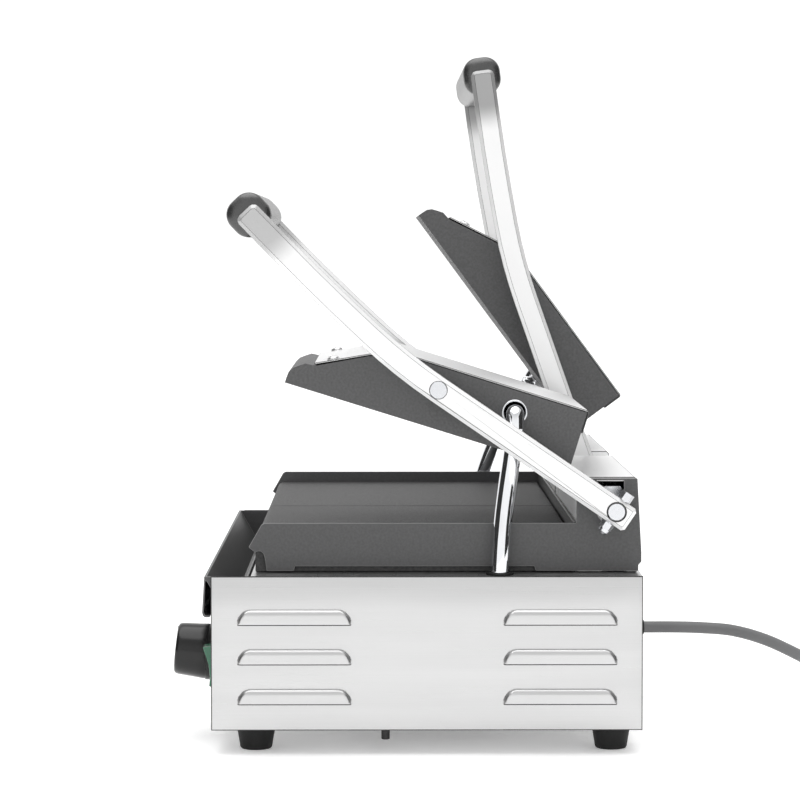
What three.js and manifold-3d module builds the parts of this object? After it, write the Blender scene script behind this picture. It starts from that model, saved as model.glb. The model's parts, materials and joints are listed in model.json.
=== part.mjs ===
// Double panini press: a steel base with two cast-iron lower plates, and two upper platens that hang
// between pairs of hinged arms. Millimetres, +X to the press's right, -Y to its front, +Z up.
import * as THREE from 'three';
import { mergeVertices } from 'three/addons/utils/BufferGeometryUtils.js';
import Module from 'manifold-3d';

const wasm = await Module();
wasm.setup();

// ---- driving dimensions -------------------------------------------------------------------------
const CLEAR = 0.3;            // gap left between pieces that touch
const WIDTH = 570;            // housing, across
const DEPTH = 345;            // housing, front to back
const FLOOR = 20;             // underside of the housing
const DECK = 143.8;           // top of the housing
const SHEET = 1.5;            // sheet metal of the housing
const HALF_W = WIDTH / 2;
const HALF_D = DEPTH / 2;
const INNER_X = HALF_W - SHEET - CLEAR;
const FRAME_SHIFT_Y = 13.638; // puts the middle of the whole press, without its cord, at y = 0

const PLATE_TOP = 174;        // lower cooking surface
const PLATE_X = [1, 256.2];
const PLATE_Y = [-138, 117.6];

const PIVOT = [151.5, 194.7]; // y and z of the main shafts
const SHAFT_R = 7;
const ARM_HALF = 10.5;        // half the height of an arm's bar
const ARM_CHAMFER = 3;         // on the bar's long edges
const ARM_TAIL = 13.7;        // bar behind the main shaft
const PIN_REACH = 172.6;      // main shaft to the platen's rod
const ARM_BENDS = [[70, 8.6], [136, 3.4]];   // length and bend, in degrees, of each curved stretch
const ARM_TIP = 4.3;          // bar in front of the grip's middle
const GRIP_HALF = 16.7;        // half the grip's rounded square section
const GRIP_ROUND = 13.5;
const OUTER_ARM_X = [270, 281];
const INNER_ARM_X = [14, 25];
const ROD_X = [17, 281.6];     // platen rod: blind in the inner arm, right through the outer one
const RIGHT_ARM_ANGLE = 34.4; // above level, half open
const LEFT_ARM_ANGLE = 70.6;  // above level, on its open stop
const PLATEN_DROOP = 17.1;    // how far a platen leans down from its arms

const PLATEN_X = [41, 254];
const PLATEN_LENGTH = 240;
const PLATEN_HEIGHT = 51;
const COVER = 1.5;            // polished sheet on the platen
const ROD_AT = [121, 32];     // rod's place from the platen's lower rear edge: forward, up
const CONDUIT_AT = [56, 32];
const CONDUIT_R = 7.4;

const KNOB_X = 190;
const KNOB_Z = 69.6;
const KNOB_TILT = 6;           // degrees the knobs' shafts point up
const KNOB_TIP = -207;         // front face of a knob, before the tilt
const SWITCH_X = 240;
const SWITCH_Z = 66;

const LOUVRE_LENGTH = 91;
const LOUVRE_HEIGHT = 12.5;
const LOUVRE_DEPTH = 4.2;
const LOUVRE_Y = [-105.9, 106.7];
const LOUVRE_Z = [40.9, 72.9, 104.6];

const CORD_R = 5.2;
const CORD_EXIT_Z = 64.5;
const COIL_R = 54;             // middle of the coil's turns
const COIL_CENTRE = [-59.2, 486];
const BOOT_LENGTH = 27;

// ---- materials ----------------------------------------------------------------------------------
const finish = (color, roughness, metalness) => ({ color, roughness, metalness });
const BRUSHED = finish(0xc9cacc, 0.38, 1.0);
const POLISHED = finish(0xdfe1e4, 0.12, 1.0);
const BLACK_SHEET = finish(0x161617, 0.45, 0.2);
const CAST_IRON = finish(0x2b2b2d, 0.6, 0.4);
const GRIP_BLACK = finish(0x0e0e0f, 0.2, 0.0);
const KNOB_BLACK = finish(0x141415, 0.35, 0.0);
const RUBBER = finish(0x101010, 0.85, 0.0);
const GREEN = finish(0x1f8a57, 0.3, 0.0);
const ELEMENT = finish(0x55504a, 0.5, 0.8);
const CHROME = finish(0xe6e8ea, 0.08, 1.0);
const ZINC = finish(0xb9bcc0, 0.3, 1.0);
const CORD_GREY = finish(0x8f9193, 0.55, 0.0);

// ---- shape helpers ------------------------------------------------------------------------------
function solid(geometry) {
  const bare = geometry.clone();
  bare.deleteAttribute('normal');
  bare.deleteAttribute('uv');
  const merged = mergeVertices(bare, 1e-4);
  const vertProperties = new Float32Array(merged.attributes.position.array);
  const triVerts = new Uint32Array(merged.index.array);
  return new wasm.Manifold(new wasm.Mesh({ numProp: 3, vertProperties, triVerts }));
}

function cut(base, ...tools) {
  return tools.reduce((left, tool) => left.subtract(tool), base);
}

function join(base, ...others) {
  return others.reduce((sum, other) => sum.add(other), base);
}

function geometryOf(manifold) {
  const mesh = manifold.getMesh();
  const geometry = new THREE.BufferGeometry();
  geometry.setAttribute('position', new THREE.BufferAttribute(new Float32Array(mesh.vertProperties), 3));
  geometry.setIndex(new THREE.BufferAttribute(new Uint32Array(mesh.triVerts), 1));
  geometry.computeVertexNormals();
  return geometry;
}

function part(name, shape, look) {
  const geometry = shape.isBufferGeometry ? shape : geometryOf(shape);
  const mesh = new THREE.Mesh(geometry, new THREE.MeshStandardMaterial(look));
  mesh.name = name;
  return mesh;
}

function box(x, y, z) {
  const geometry = new THREE.BoxGeometry(x[1] - x[0], y[1] - y[0], z[1] - z[0]);
  geometry.translate((x[0] + x[1]) / 2, (y[0] + y[1]) / 2, (z[0] + z[1]) / 2);
  return solid(geometry);
}

function shapeOf(points) {
  return new THREE.Shape(points.map(([a, b]) => new THREE.Vector2(a, b)));
}

// An outline of [y, z] points, pushed along X between two places.
const YZ_TO_WORLD = new THREE.Matrix4().set(0, 0, 1, 0, 1, 0, 0, 0, 0, 1, 0, 0, 0, 0, 0, 1);

function alongX(outline, x, chamfer = 0) {
  const shape = outline instanceof THREE.Shape ? outline : shapeOf(outline);
  const geometry = new THREE.ExtrudeGeometry(shape, {
    depth: x[1] - x[0] - 2 * chamfer,
    bevelEnabled: chamfer > 0,
    bevelThickness: chamfer,
    bevelSize: chamfer,
    bevelOffset: -chamfer,
    bevelSegments: 1,
    curveSegments: 6,
  });
  geometry.translate(0, 0, x[0] + chamfer);
  return geometry.applyMatrix4(YZ_TO_WORLD);
}

// A round bar along one axis; at gives its place on the other two, in X, Y, Z order.
function bar(axis, radius, from, to, at, sides = 16) {
  const geometry = new THREE.CylinderGeometry(radius, radius, to - from, sides);
  const middle = (from + to) / 2;
  if (axis === 'x') return solid(geometry.rotateZ(Math.PI / 2).translate(middle, at[0], at[1]));
  if (axis === 'y') return solid(geometry.translate(at[0], middle, at[1]));
  return solid(geometry.rotateX(Math.PI / 2).translate(at[0], at[1], middle));
}

// A turned piece: the profile's [radius, height] points spin about Y, which then points along 'axis'.
function turned(profile, axis, sides = 20) {
  const geometry = new THREE.LatheGeometry(profile.map(([r, h]) => new THREE.Vector2(r, h)), sides);
  if (axis === 'z') return geometry.rotateX(Math.PI / 2);
  return geometry;
}

function tube(points, radius, sides, steps, tension = 0.5) {
  const ring = [];
  for (let i = 0; i < sides; i += 1) {
    const turn = (2 * Math.PI * i) / sides;
    ring.push([radius * Math.cos(turn), radius * Math.sin(turn)]);
  }
  const route = points.map(([x, y, z]) => new THREE.Vector3(x, y, z));
  const extrudePath = new THREE.CatmullRomCurve3(route, false, 'catmullrom', tension);
  return new THREE.ExtrudeGeometry(shapeOf(ring), { steps, bevelEnabled: false, extrudePath });
}

const radians = (degrees) => (degrees * Math.PI) / 180;
const span = (side, x) => (side > 0 ? [x[0], x[1]] : [-x[1], -x[0]]);
const sideName = (side) => (side > 0 ? 'right' : 'left');

// ---- housing ------------------------------------------------------------------------------------

// One louvre's swell: a quarter ellipse in section, with rounded ends; shrink insets it for the inside.
function louvreSwell(y, z, shrink) {
  const rows = 3;
  const columns = 6;
  const depth = LOUVRE_DEPTH - shrink;
  const height = LOUVRE_HEIGHT - shrink;
  const endRound = 8;
  const bottom = z - (shrink > 0 ? 1 : 0);
  const rings = [];
  for (let row = 0; row <= rows; row += 1) {
    const rise = row / rows;
    const out = Math.sqrt(1 - rise * rise);
    const half = LOUVRE_LENGTH / 2 - shrink - endRound * (1 - out);
    const ring = [];
    for (let column = 0; column <= columns; column += 1) {
      const along = -Math.cos((Math.PI * column) / columns);
      const fall = Math.min(1, (1 - Math.abs(along)) * 6);
      ring.push([half * along, depth * out * fall, rise * height]);
    }
    rings.push(ring);
  }
  const front = rings.map((ring) => ring.map(([a, d, h]) => [0.02 + d, y + a, z + h]));
  if (shrink > 0) front.unshift(front[0].map(([d, a]) => [d, a, bottom]));
  const backFace = front.map((ring) => ring.map(([, a, h]) => [-3, a, h]));
  return { front, backFace };
}

function sheetSolid({ front, backFace }) {
  const positions = [];
  const width = front[0].length;
  const rows = front.length;
  front.forEach((ring) => ring.forEach((point) => positions.push(...point)));
  backFace.forEach((ring) => ring.forEach((point) => positions.push(...point)));
  const index = [];
  const at = (layer, row, column) => layer * width * rows + row * width + column;
  const quad = (a, b, c, d) => index.push(a, b, c, a, c, d);
  for (let row = 0; row < rows - 1; row += 1) {
    for (let column = 0; column < width - 1; column += 1) {
      quad(at(0, row, column), at(0, row, column + 1), at(0, row + 1, column + 1), at(0, row + 1, column));
      quad(at(1, row, column), at(1, row + 1, column), at(1, row + 1, column + 1), at(1, row, column + 1));
    }
    quad(at(0, row, 0), at(0, row + 1, 0), at(1, row + 1, 0), at(1, row, 0));
    const last = width - 1;
    quad(at(0, row, last), at(1, row, last), at(1, row + 1, last), at(0, row + 1, last));
  }
  for (let column = 0; column < width - 1; column += 1) {
    const last = rows - 1;
    quad(at(0, 0, column), at(1, 0, column), at(1, 0, column + 1), at(0, 0, column + 1));
    quad(at(0, last, column), at(0, last, column + 1), at(1, last, column + 1), at(1, last, column));
  }
  const geometry = new THREE.BufferGeometry();
  geometry.setAttribute('position', new THREE.Float32BufferAttribute(positions, 3));
  geometry.setIndex(index);
  return solid(geometry);
}

function sidePanel(side) {
  const r = 3;
  const outline = new THREE.Shape();
  outline.moveTo(-HALF_D + r, FLOOR);
  outline.lineTo(HALF_D - r, FLOOR);
  outline.absarc(HALF_D - r, FLOOR + r, r, -Math.PI / 2, 0, false);
  outline.lineTo(HALF_D, DECK);
  outline.lineTo(-HALF_D, DECK);
  outline.absarc(-HALF_D + r, FLOOR + r, r, Math.PI, 1.5 * Math.PI, false);
  let panel = solid(alongX(outline, [-SHEET, 0]));
  for (const y of LOUVRE_Y) {
    for (const z of LOUVRE_Z) {
      const outer = sheetSolid(louvreSwell(y, z, 0)).intersect(box([-0.5, 20], [-200, 200], [0, 200]));
      const inner = sheetSolid(louvreSwell(y, z, 1.2));
      panel = panel.add(outer).subtract(inner);
    }
  }
  panel = side > 0 ? panel : panel.rotate([0, 0, 180]).mirror([0, 1, 0]);
  return part(`${sideName(side)}_side_panel`, panel.translate([side * HALF_W, 0, 0]), BRUSHED);
}

function frontPanel() {
  const y = [-HALF_D, -HALF_D + SHEET];
  const through = [y[0] - 5, y[1] + 5];
  let panel = box([-INNER_X, INNER_X], y, [FLOOR + CLEAR, 128]);
  for (const side of [1, -1]) {
    const across = span(side, [SWITCH_X - 10.5, SWITCH_X + 10.5]);
    panel = cut(panel, bar('y', 4.5, ...through, [side * KNOB_X, KNOB_Z]));
    panel = cut(panel, box(across, through, [SWITCH_Z - 18.5, SWITCH_Z + 18.5]));
  }
  return part('front_panel', panel, BRUSHED);
}

function rearPanel() {
  const y = [HALF_D - SHEET, HALF_D];
  let panel = box([-INNER_X, INNER_X], y, [FLOOR + CLEAR, DECK - SHEET - CLEAR]);
  panel = cut(panel, bar('y', 8.3, y[0] - 5, y[1] + 5, [0, CORD_EXIT_Z]));
  for (const side of [1, -1]) {
    for (let i = 0; i < 6; i += 1) {
      const z = 50 + 13 * i;
      panel = cut(panel, box(span(side, [110, 230]), [y[0] - 5, y[1] + 5], [z, z + 5]));
    }
  }
  return part('rear_panel', panel, BRUSHED);
}

function bottomPlate() {
  const y = HALF_D - SHEET - CLEAR;
  let plate = box([-INNER_X, INNER_X], [-y, y], [FLOOR, FLOOR + SHEET]);
  for (const side of [1, -1]) {
    for (let i = 0; i < 7; i += 1) {
      const x = 60 + 24 * i;
      plate = cut(plate, box(span(side, [x, x + 8]), [-60, 60], [0, 60]));
    }
  }
  return part('bottom_plate', plate, BRUSHED);
}

function deck() {
  let plate = box([-INNER_X, INNER_X], [-140.8, HALF_D], [DECK - SHEET, DECK]);
  for (const side of [1, -1]) {
    plate = cut(plate, box(span(side, [14, 243]), [-126, 104], [100, 200]));
    plate = cut(plate, bar('z', CONDUIT_R + 1, 100, 200, [side * 273, 58.7]));
  }
  return part('deck', plate, BRUSHED);
}

function foot(side, front) {
  const y = front ? -138 : 150;
  const profile = [[0, 0], [12, 0], [13, 1.5], [16, FLOOR - CLEAR], [0, FLOOR - CLEAR]];
  const shape = turned(profile, 'z', 20).translate(side * 250, y, 0);
  return part(`${front ? 'front' : 'rear'}_${sideName(side)}_foot`, shape, RUBBER);
}

function dripTray() {
  const x = 282.8;
  const outer = [[-177.8, 143.5], [-159.5, 110.5], [-142.5, 110.5], [-142.5, 143.5]];
  const inner = [[-179.6, 150], [-158.5, 112], [-144, 112], [-144, 150]];
  const lip = [[-177.8, 143.5], [-179.6, 114.5], [-178.8, 111.8], [-177.2, 110.7], [-173.4, 110.7],
    [-173.4, 112.1], [-176.9, 112.1], [-178.2, 114.5], [-176.9, 139.8], [-175.2, 139.8], [-176.6, 143.5]];
  const trough = cut(solid(alongX(outer, [-x, x])), solid(alongX(inner, [1.4 - x, x - 1.4])));
  return part('drip_tray', join(trough, solid(alongX(lip, [-x, x]))), BLACK_SHEET);
}

// ---- controls -----------------------------------------------------------------------------------
// Tips a solid made on the Y axis up at its front, about the front panel's face, and puts it in place.
function onKnobAxis(shape, side) {
  const upright = shape.translate([0, HALF_D, 0]).rotate([-KNOB_TILT, 0, 0]);
  return upright.translate([side * KNOB_X, -HALF_D, KNOB_Z]);
}

function thermostat(side) {
  const back = -HALF_D + SHEET + CLEAR;
  const body = bar('y', 20, back, back + 28, [side * KNOB_X, KNOB_Z]);
  const shaft = onKnobAxis(bar('y', 3, -197, back + 6, [0, 0], 16), side);
  return part(`${sideName(side)}_thermostat`, join(body, shaft), ZINC);
}

function knob(side) {
  const back = -HALF_D - 3.2;
  const profile = [[3.4, back], [22.8, back], [23.6, back - 3], [23.3, back - 6], [21.4, KNOB_TIP + 3.4],
    [20.2, KNOB_TIP + 1], [18, KNOB_TIP], [0, KNOB_TIP], [0, -198], [3.4, -198], [3.4, back]];
  const turnedBody = solid(turned(profile.reverse(), 'y', 24));
  const pointer = box([-2, 2], [KNOB_TIP, KNOB_TIP + 6], [4, 21]);
  return part(`${sideName(side)}_knob`, onKnobAxis(join(turnedBody, pointer), side), KNOB_BLACK);
}

function rockerSwitch(side) {
  const outline = [[-181.2, 16], [-176.6, 2], [-175.4, -9], [-176.2, -16], [-172, -17], [-160, -9],
    [-157, 0], [-160, 9], [-172, 17]];
  const x = span(side, [SWITCH_X - 9.5, SWITCH_X + 9.5]);
  const shape = solid(alongX(outline.reverse(), x)).translate([0, 0, SWITCH_Z]);
  return part(`${sideName(side)}_switch`, shape, GREEN);
}

// ---- cooking surfaces and splash walls ----------------------------------------------------------
function lowerPlate(side) {
  const bottom = DECK + CLEAR;
  const outline = [[PLATE_Y[0], bottom], [PLATE_Y[1], bottom], [PLATE_Y[1], PLATE_TOP],
    [PLATE_Y[0] + 5, PLATE_TOP], [PLATE_Y[0] + 1.5, PLATE_TOP - 1.5], [PLATE_Y[0], PLATE_TOP - 5]];
  const inside = span(side, [PLATE_X[0] + 9, PLATE_X[1] - 9]);
  const hollow = box(inside, [PLATE_Y[0] + 9, PLATE_Y[1] - 9], [bottom - 5, PLATE_TOP - 12]);
  const shape = cut(solid(alongX(outline, span(side, PLATE_X))), hollow);
  return part(`${sideName(side)}_lower_plate`, shape, CAST_IRON);
}

// A heating tube's route: two long loops lying flat.
function loopRoute(xs, rear, front, height) {
  const route = [];
  const bend = 10;
  xs.forEach((x, i) => {
    const [from, to] = i % 2 ? [front, rear] : [rear, front];
    const toward = Math.sign(to - from) * bend;
    route.push([x, from + toward, height], [x, (from + to) / 2, height], [x, to - toward, height]);
  });
  return route;
}

function lowerElement(side) {
  const xs = [40, 100, 160, 220].map((x) => side * x);
  const shape = tube(loopRoute(xs, 90, -110, 155.5), 3.5, 5, 24);
  return part(`${sideName(side)}_lower_element`, shape, ELEMENT);
}

function splashGuard(side) {
  const outline = new THREE.Shape();
  outline.moveTo(-137.8, 160);
  outline.lineTo(-136.5, 161.2);
  outline.lineTo(-133.5, 161.2);
  outline.lineTo(-131.2, 159);
  outline.lineTo(-130, 154);
  outline.lineTo(-128.8, 145.2);
  outline.lineTo(-107, 145.2);
  outline.lineTo(-106, 149);
  outline.lineTo(87, 149);
  outline.lineTo(88, 145.2);
  outline.lineTo(171, 145.2);
  outline.lineTo(171, 150);
  outline.lineTo(173.4, 152.5);
  outline.lineTo(173.4, 160);
  outline.lineTo(170, 220);
  outline.lineTo(120.7, 220);
  outline.lineTo(120.7, 184);
  outline.lineTo(-130.6, 184);
  outline.lineTo(-133, 182.6);
  outline.lineTo(-143.4, 164.4);
  outline.closePath();
  const opening = new THREE.Path();
  opening.moveTo(137, 218.4);
  opening.lineTo(159, 218.4);
  opening.lineTo(159, 194);
  opening.absarc(148, 194, 11, 0, -Math.PI, true);
  opening.closePath();
  outline.holes.push(opening);
  const shape = solid(alongX(outline, span(side, [258, 260])));
  return part(`${sideName(side)}_splash_guard`, shape, BLACK_SHEET);
}

function rearSplashWall() {
  const wall = box([-257.6, 257.6], [119, 120.5], [DECK + CLEAR, 185]);
  const lip = box([-257.6, 257.6], [118.2, 120.5], [183.6, 185]);
  return part('rear_splash_wall', join(wall, lip), BLACK_SHEET);
}

function rearCover(side) {
  const x = [26.5, 257.6];
  const y = [120.9, 170];
  const top = 221;
  const outline = [[y[0], DECK + CLEAR], [y[1], DECK + CLEAR], [y[1], top - 2], [y[1] - 2, top],
    [y[0] + 2, top], [y[0], top - 2]];
  const shell = solid(alongX(outline, span(side, x)));
  const inside = box(span(side, [x[0] + 1.4, x[1] - 1.4]), [y[0] + 1.4, y[1] - 1.4], [100, top - 1.4]);
  const slot = box(span(side, [0, 300]), [PIVOT[0] - 9, PIVOT[0] + 9], [100, PIVOT[1]]);
  const round = bar('x', 9, ...span(side, [0, 300]), PIVOT);
  const window = box(span(side, [250, 300]), [137, 160], [PIVOT[1] - 4, 217]);
  return part(`${sideName(side)}_rear_cover`, cut(shell, inside, slot, round, window), POLISHED);
}

function bearing(side, place) {
  const x = place === 'outer' ? [244, 250] : [34, 40];
  const outline = [[130, DECK + CLEAR], [166, DECK + CLEAR], [166, 152], [161, 206], [157, 213],
    [144, 213], [140, 206], [130, 152]];
  const plate = solid(alongX(outline, span(side, x)));
  const sleeve = bar('x', 11, ...span(side, [x[0] - 3, x[1] + 3]), PIVOT);
  const hole = bar('x', SHAFT_R + CLEAR, ...span(side, [0, 300]), PIVOT);
  return part(`${sideName(side)}_${place}_bearing`, cut(join(plate, sleeve), hole), ZINC);
}

function springCoil(side) {
  const turns = 5;
  const perTurn = 8;
  const from = 215;
  const pitch = 7.2;
  const route = [];
  for (let i = 0; i <= turns * perTurn; i += 1) {
    const turn = (2 * Math.PI * i) / perTurn;
    const x = side * (from - (pitch * i) / perTurn);
    route.push([x, PIVOT[0] + 12 * Math.cos(turn), PIVOT[1] + 12 * Math.sin(turn)]);
  }
  return part(`${sideName(side)}_counterbalance_spring`, tube(route, 1.8, 4, turns * perTurn), ZINC);
}

// ---- conduits, cord and plug --------------------------------------------------------------------
function conduit(side) {
  const right = [[273, 58.5, 130], [273, 58.6, 148], [271.4, 59.8, 170], [266.4, 62, 192], [262.6, 65, 214],
    [262, 68.2, 236], [262, 70.4, 254], [261.9, 71, 263.6], [258, 71.3, 271.6], [246, 71.3, 272.9]];
  const left = [[273, 58.5, 130], [273, 58.8, 148], [271.4, 61.8, 170], [266.4, 68.6, 194],
    [262.6, 80, 222], [262, 98, 254], [262, 116.6, 284], [261.9, 127.4, 297.4], [258, 132.3, 304.2],
    [246, 132.8, 305.2]];
  const route = side > 0 ? right : left.map(([x, y, z]) => [-x, y, z]);
  return part(`${sideName(side)}_conduit`, tube(route, CONDUIT_R, 8, 20), CHROME);
}

function cordGland() {
  const back = HALF_D;
  const tip = back + BOOT_LENGTH;
  const bore = CORD_R + CLEAR;
  const profile = [[bore, tip], [bore + 0.9, tip], [bore + 2, back + 12], [9.5, back + 9], [11.5, back + 8],
    [11.5, back + CLEAR], [8, back + CLEAR], [8, back - 6], [bore, back - 6], [bore, tip]];
  const shape = turned(profile.reverse(), 'y', 16).translate(0, 0, CORD_EXIT_Z);
  return part('cord_gland', shape, RUBBER);
}

// The loose stretch: out of the gland, down to the table and along it to the coil's outer turn.
function powerCord() {
  const start = HALF_D - 5;
  const route = [[0, start, CORD_EXIT_Z], [0, 202, CORD_EXIT_Z], [0, 226, 64.5], [0, 251, 63.8],
    [0, 280, 61.2], [0, 310, 52.6], [0, 340, 38.6], [0, 368, 23.6], [0, 396, 11.6], [0, 422, 6.2],
    [0, 448, 5.25]];
  return part('power_cord', tube(route, CORD_R, 8, 22), CORD_GREY);
}

function coilRing(grow) {
  const low = COIL_R - 2 * CORD_R - grow;
  const high = COIL_R + 2 * CORD_R + grow;
  const top = 4 * CORD_R + grow;
  const profile = [[low, -grow], [high, -grow], [high, top], [low, top], [low, -grow]];
  return turned(profile, 'z', 28);
}

function cordCoil() {
  const shape = coilRing(0).translate(...COIL_CENTRE, 0);
  const ring = cut(solid(shape), bar('y', CORD_R + CLEAR, 400, 488, [0, CORD_R], 12));
  return part('cord_coil', ring, CORD_GREY);
}

// The plug lies beside the coil where the cord's end leaves it, its pins toward the press.
function plug() {
  const thick = 3 * CORD_R;
  const middle = COIL_CENTRE[0] - COIL_R - CORD_R;
  const outline = new THREE.Shape();
  outline.absellipse(0, 0, 16.5, thick, 0, 2 * Math.PI, false, 0);
  const body = new THREE.ExtrudeGeometry(outline, { depth: 30, bevelEnabled: true,
    bevelThickness: 3, bevelSize: 3, bevelOffset: -3, bevelSegments: 1, curveSegments: 6 });
  const bootEnd = COIL_CENTRE[1] - 27;
  const bodyStart = bootEnd - 32;
  let shape = solid(body.rotateX(Math.PI / 2).translate(middle, bodyStart, thick));
  const boot = turned([[0, -34], [8.5, -34], [6.4, 0], [0, 0]], 'y', 16).translate(middle, bootEnd, thick);
  shape = join(shape, solid(boot));
  for (const pin of [-9.5, 9.5]) {
    const from = bodyStart - 30;
    shape = join(shape, bar('y', 2.4, from - 22, from, [middle + pin, thick], 12));
  }
  const ring = solid(coilRing(CLEAR).translate(...COIL_CENTRE, 0));
  return part('plug', cut(shape, ring), KNOB_BLACK);
}

function undersideStud() {
  const place = [250, -33];
  const shape = join(bar('z', 3.5, 7, FLOOR - CLEAR, place), bar('z', 6, 15, FLOOR - CLEAR, place));
  return part('underside_stud', shape, KNOB_BLACK);
}

// ---- moving units -------------------------------------------------------------------------------

// The arm's middle line in its own frame: the shaft at 0, 0 and the straight stretch along -Y.
function armLine() {
  const points = [[ARM_TAIL, 0, 0], [-PIN_REACH, 0, 0]];
  let [y, z, heading] = [-PIN_REACH, 0, 0];
  for (const [length, bend] of ARM_BENDS) {
    const steps = 4;
    for (let i = 0; i < steps; i += 1) {
      heading += bend / steps / 2;
      y -= (length / steps) * Math.cos(radians(heading));
      z += (length / steps) * Math.sin(radians(heading));
      heading += bend / steps / 2;
      points.push([y, z, heading]);
    }
  }
  return points;
}

function armOutline() {
  const line = armLine();
  const [gripY, gripZ, heading] = line[line.length - 1];
  const tipY = gripY - ARM_TIP * Math.cos(radians(heading));
  const tipZ = gripZ + ARM_TIP * Math.sin(radians(heading));
  const beside = ([y, z, turn], lift, back = 0) => [
    y + lift * Math.sin(radians(turn)) + back * Math.cos(radians(turn)),
    z + lift * Math.cos(radians(turn)) - back * Math.sin(radians(turn)),
  ];
  const tip = [tipY, tipZ, heading];
  const upper = line.slice(1, -1).map((point) => beside(point, ARM_HALF));
  const lower = line.slice(1, -1).map((point) => beside(point, -ARM_HALF));
  const round = (lift) => [0, 30, 60, 90].map((degrees) => {
    const r = 5;
    const side = lift * (ARM_HALF - r + r * Math.sin(radians(degrees)));
    return beside(tip, side, r * (1 - Math.cos(radians(degrees))));
  });
  const tail = line[0];
  const corner = 2.4;
  return [beside(tail, -ARM_HALF, -corner), beside(tail, corner - ARM_HALF), beside(tail, ARM_HALF - corner),
    beside(tail, ARM_HALF, -corner), ...upper, ...round(1).reverse(), ...round(-1), ...lower.reverse()];
}

function gripPlace() {
  const line = armLine();
  return line[line.length - 1];
}

function arm(name, x, side) {
  let shape = solid(alongX(armOutline(), x, ARM_CHAMFER));
  const through = [x[0] - 5, x[1] + 5];
  const middle = (x[0] + x[1]) / 2;
  shape = cut(shape, bar('x', SHAFT_R + CLEAR, ...through, [0, 0]));
  shape = cut(shape, bar('x', SHAFT_R + CLEAR, ...span(side, [ROD_X[0] - CLEAR, 300]), [-PIN_REACH, 0]));
  shape = cut(shape, bar('z', 3.3, -20, 20, [middle, 0], 12));
  return part(name, shape, POLISHED);
}

function pivotShaft(side) {
  let shape = bar('x', SHAFT_R, ...span(side, [INNER_ARM_X[0], OUTER_ARM_X[1]]), [0, 0]);
  for (const x of [INNER_ARM_X, OUTER_ARM_X]) {
    shape = cut(shape, bar('z', 3.3, -20, 20, [(side * (x[0] + x[1])) / 2, 0], 12));
  }
  return part(`${sideName(side)}_pivot_shaft`, shape, ZINC);
}

function clampBolt(side, place) {
  const x = place === 'outer' ? OUTER_ARM_X : INNER_ARM_X;
  const middle = (side * (x[0] + x[1])) / 2;
  const head = bar('z', 5.6, ARM_HALF + CLEAR, ARM_HALF + 7.2, [middle, 0], 6);
  const shank = bar('z', 3, -ARM_HALF - 2, ARM_HALF + 1, [middle, 0], 8);
  const nut = bar('z', 5.6, -ARM_HALF - 6, -ARM_HALF - CLEAR, [middle, 0], 6);
  const dome = turned([[0, -11], [2.6, -10.4], [4.4, -8.6], [4.9, -5.5], [0, -5.5]], 'z', 12);
  dome.translate(middle, 0, -ARM_HALF);
  return part(`${sideName(side)}_${place}_clamp_bolt`, join(head, shank, nut, solid(dome)), ZINC);
}

function grip(side) {
  const [y, z, heading] = gripPlace();
  const straight = GRIP_HALF - GRIP_ROUND;
  const outline = [];
  for (let corner = 0; corner < 4; corner += 1) {
    for (const degrees of [0, 18, 36, 54, 72]) {
      const turn = radians(90 * corner + degrees);
      const [a, b] = [[1, 1], [-1, 1], [-1, -1], [1, -1]][corner];
      const [across, up] = [GRIP_ROUND * Math.cos(turn), GRIP_ROUND * Math.sin(turn)];
      outline.push([a * straight + across, b * straight + up]);
    }
  }
  const x = span(side, [INNER_ARM_X[1] + CLEAR, OUTER_ARM_X[0] - CLEAR]);
  const shape = alongX(outline, x, 1.6).rotateX(-radians(heading)).translate(0, y, z);
  return part(`${sideName(side)}_grip`, shape, GRIP_BLACK);
}

// Platen outlines are given as forward and up from the lower rear edge.
const onPlaten = (outline) => outline.map(([forward, up]) => [ROD_AT[0] - forward, up - ROD_AT[1]]).reverse();

function platenCasting(side) {
  const top = PLATEN_HEIGHT - COVER - CLEAR;
  const outer = [[0, 0], [0, top], [164.5, top], [220.6, 20.2], [228.8, 19.4], [233.3, 16.2],
    [237.5, 12.9], [239.6, 9], [PLATEN_LENGTH, 4], [PLATEN_LENGTH, 0]];
  const inner = [[8, 14], [8, 60], [161, 60], [161, 43], [200, 23], [200, 14]];
  const x = span(side, PLATEN_X);
  let shape = cut(solid(alongX(onPlaten(outer), x)), solid(alongX(onPlaten(inner), [x[0] + 6, x[1] - 6])));
  const count = 18;
  const pitch = (PLATEN_X[1] - PLATEN_X[0]) / (count + 0.5);
  for (let i = 0; i < count; i += 1) {
    const at = side * (PLATEN_X[0] + pitch * (i + 0.75));
    const low = -ROD_AT[1];
    const across = [[at - 2.6, low - 1], [at + 2.6, low - 1], [at + 1.4, low + 2.2], [at - 1.4, low + 2.2]];
    const groove = new THREE.ExtrudeGeometry(shapeOf(across), { depth: 300, bevelEnabled: false });
    groove.rotateX(Math.PI / 2).translate(0, 140, 0);
    shape = cut(shape, solid(groove));
  }
  shape = cut(shape, bar('x', SHAFT_R + CLEAR, ...span(side, [0, 300]), [0, 0]));
  const hole = bar('x', CONDUIT_R + 1.9, ...span(side, [PLATEN_X[1] - 10, PLATEN_X[1] + 10]),
    [ROD_AT[0] - CONDUIT_AT[0], 0]);
  return part(`${sideName(side)}_platen_casting`, cut(shape, hole), CAST_IRON);
}

function platenCover(side) {
  const top = PLATEN_HEIGHT;
  const outline = [[-1.5, 32], [-1.5, top - 1.5], [0, top], [165, top], [222, 22.2], [221.3, 20.9],
    [164.6, top - COVER], [-0.3, top - COVER], [-0.3, 32]];
  const x = span(side, PLATEN_X);
  return part(`${sideName(side)}_platen_cover`, solid(alongX(onPlaten(outline), x)), POLISHED);
}

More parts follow.
